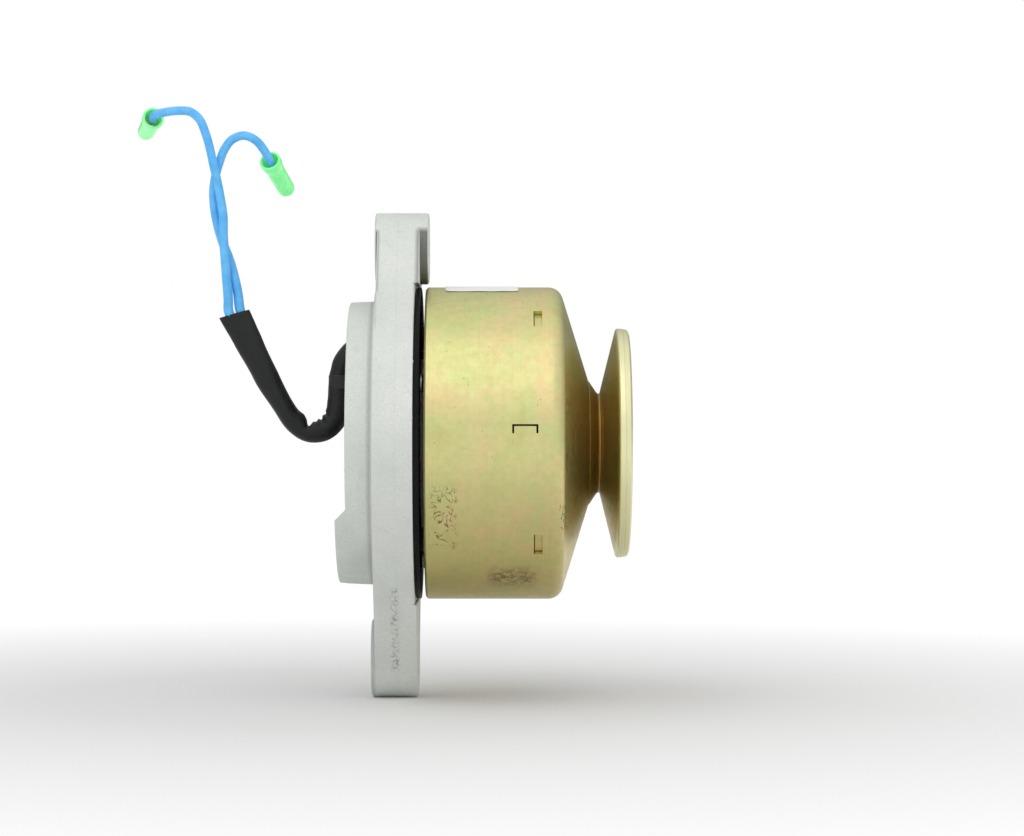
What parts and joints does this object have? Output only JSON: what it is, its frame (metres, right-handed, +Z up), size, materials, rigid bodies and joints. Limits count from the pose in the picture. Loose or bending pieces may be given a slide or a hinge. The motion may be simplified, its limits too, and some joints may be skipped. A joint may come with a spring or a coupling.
{
  "type": "dynamo",
  "caption": "Small permanent-magnet engine dynamo: lugged aluminium bracket, stator, spinning magnet drum with an integral V-belt pulley, and a short two-wire lead with bullet terminals.",
  "frame": {"origin": "on the shaft's axis, in the plane of the bracket plate's rear face", "axes": "+X along the shaft towards the belt pulley, +Z up through the upper fixing lug, +Y away from the side with the lead nearest"},
  "size_m": [0.1833, 0.115, 0.2174],
  "materials": {
    "casting": "matt die-cast",
    "black_steel": "satin black",
    "chromate": "yellow zinc chromate, turned",
    "label": "matt, blank",
    "zinc": "bright zinc",
    "bright_steel": "ground",
    "lamination": "stacked sheets",
    "copper": "enamelled wire, varnished",
    "ferrite": "ground ferrite",
    "brass": "satin",
    "rubber": "matt black",
    "black_vinyl": "satin soft vinyl",
    "blue_vinyl": "satin blue insulation",
    "green_vinyl": "translucent green"
  },
  "bodies": {
    "bracket": {"bracket_casting": "casting", "dust_plate": "black_steel", "dust_plate_screw_1": "zinc", "dust_plate_screw_2": "zinc", "dust_plate_screw_3": "zinc", "stator_core": "lamination", "stator_coil_1": "copper", "stator_coil_2": "copper", "stator_coil_3": "copper", "stator_coil_4": "copper", "stator_coil_5": "copper", "stator_coil_6": "copper", "stator_coil_7": "copper", "stator_coil_8": "copper", "stator_screw_1": "zinc", "stator_screw_2": "zinc", "stator_screw_3": "zinc", "stator_screw_4": "zinc", "front_bearing_outer_ring": "bright_steel", "front_bearing_seal": "rubber", "rear_bearing_outer_ring": "bright_steel", "rear_bearing_seal": "rubber", "snap_ring": "black_steel", "lead_grommet": "rubber", "lead_clip": "rubber", "lead_clip_screw": "zinc", "lead_sleeve": "black_vinyl", "lead_wire_1": "blue_vinyl", "lead_wire_2": "blue_vinyl", "terminal_sleeve_1": "green_vinyl", "terminal_sleeve_2": "green_vinyl", "bullet_socket_1": "brass", "bullet_socket_2": "brass"},
    "rotor": {"rotor_drum": "chromate", "magnet_1": "ferrite", "magnet_2": "ferrite", "magnet_3": "ferrite", "magnet_4": "ferrite", "hub_rivet_1": "bright_steel", "hub_rivet_2": "bright_steel", "hub_rivet_3": "bright_steel", "hub_rivet_4": "bright_steel", "drum_label": "label", "pulley_flange": "chromate", "rotor_hub": "bright_steel", "rotor_shaft": "bright_steel", "shaft_key": "bright_steel", "bearing_spacer": "bright_steel", "pulley_washer": "zinc", "spring_washer": "zinc", "pulley_nut": "zinc", "front_bearing_inner_ring": "bright_steel", "rear_bearing_inner_ring": "bright_steel"},
    "front_ball_set": {"front_bearing_balls": "bright_steel"},
    "rear_ball_set": {"rear_bearing_balls": "bright_steel"}
  },
  "joints": [
    {"name": "rotor_spin", "type": "hinge", "parent": "bracket", "child": "rotor", "pos_m": [0, 0, 0], "axis": [1, 0, 0], "continuous": true},
    {"name": "front_ball_spin", "type": "hinge", "parent": "bracket", "child": "front_ball_set", "pos_m": [0, 0, 0], "axis": [1, 0, 0], "continuous": true},
    {"name": "rear_ball_spin", "type": "hinge", "parent": "bracket", "child": "rear_ball_set", "pos_m": [0, 0, 0], "axis": [1, 0, 0], "continuous": true}
  ],
  "couplings": [
    {"joint": "front_ball_spin", "follows": "rotor_spin", "ratio": 0.382},
    {"joint": "rear_ball_spin", "follows": "rotor_spin", "ratio": 0.382}
  ]
}
